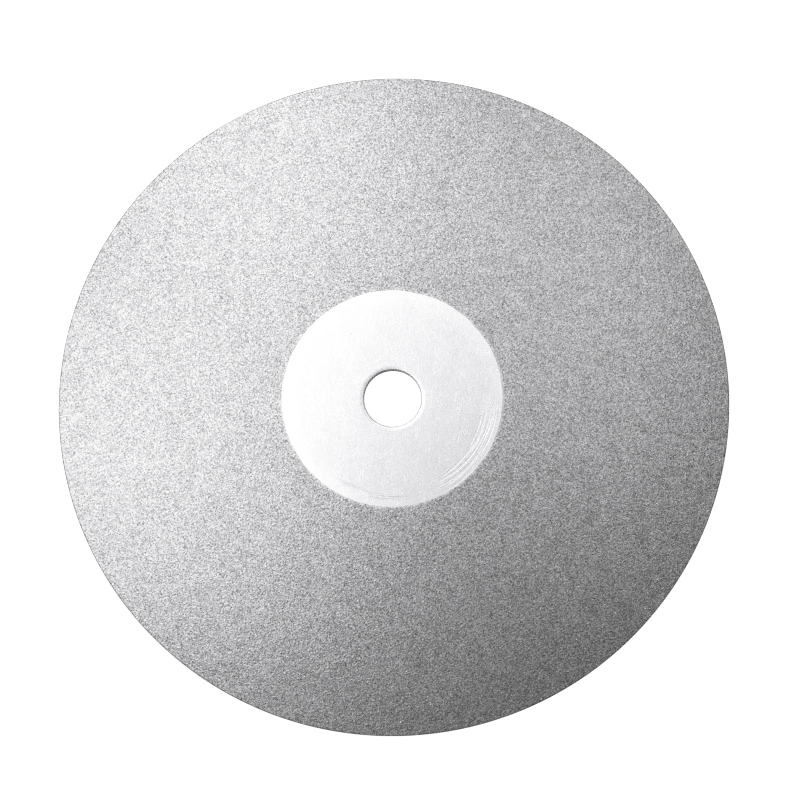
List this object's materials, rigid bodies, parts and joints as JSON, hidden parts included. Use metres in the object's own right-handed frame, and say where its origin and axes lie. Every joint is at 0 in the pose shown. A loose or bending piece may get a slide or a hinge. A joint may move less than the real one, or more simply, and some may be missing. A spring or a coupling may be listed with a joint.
{
  "type": "diamond grinding wheel",
  "caption": "Flat round steel lapping wheel with a plain arbor bore, a bare hub and one face plated with nickel and diamond grit out to the rim.",
  "frame": {"origin": "centre of the arbor bore on the back face, which is the bottom of the wheel", "axes": "+Z is the spin axis and points out of the abrasive face; the wheel is round, so X and Y are any two radii at right angles"},
  "size_m": [0.15, 0.15, 0.0012],
  "materials": {
    "steel": "ground satin steel, nearly white, with faint rings near the plating",
    "nickel": "dull grey electroplated nickel",
    "diamond": "sharp glinting grey diamond grains"
  },
  "bodies": {
    "root": {"steel_core": "steel", "nickel_bond": "nickel", "diamond_grit": "diamond"}
  },
  "joints": []
}
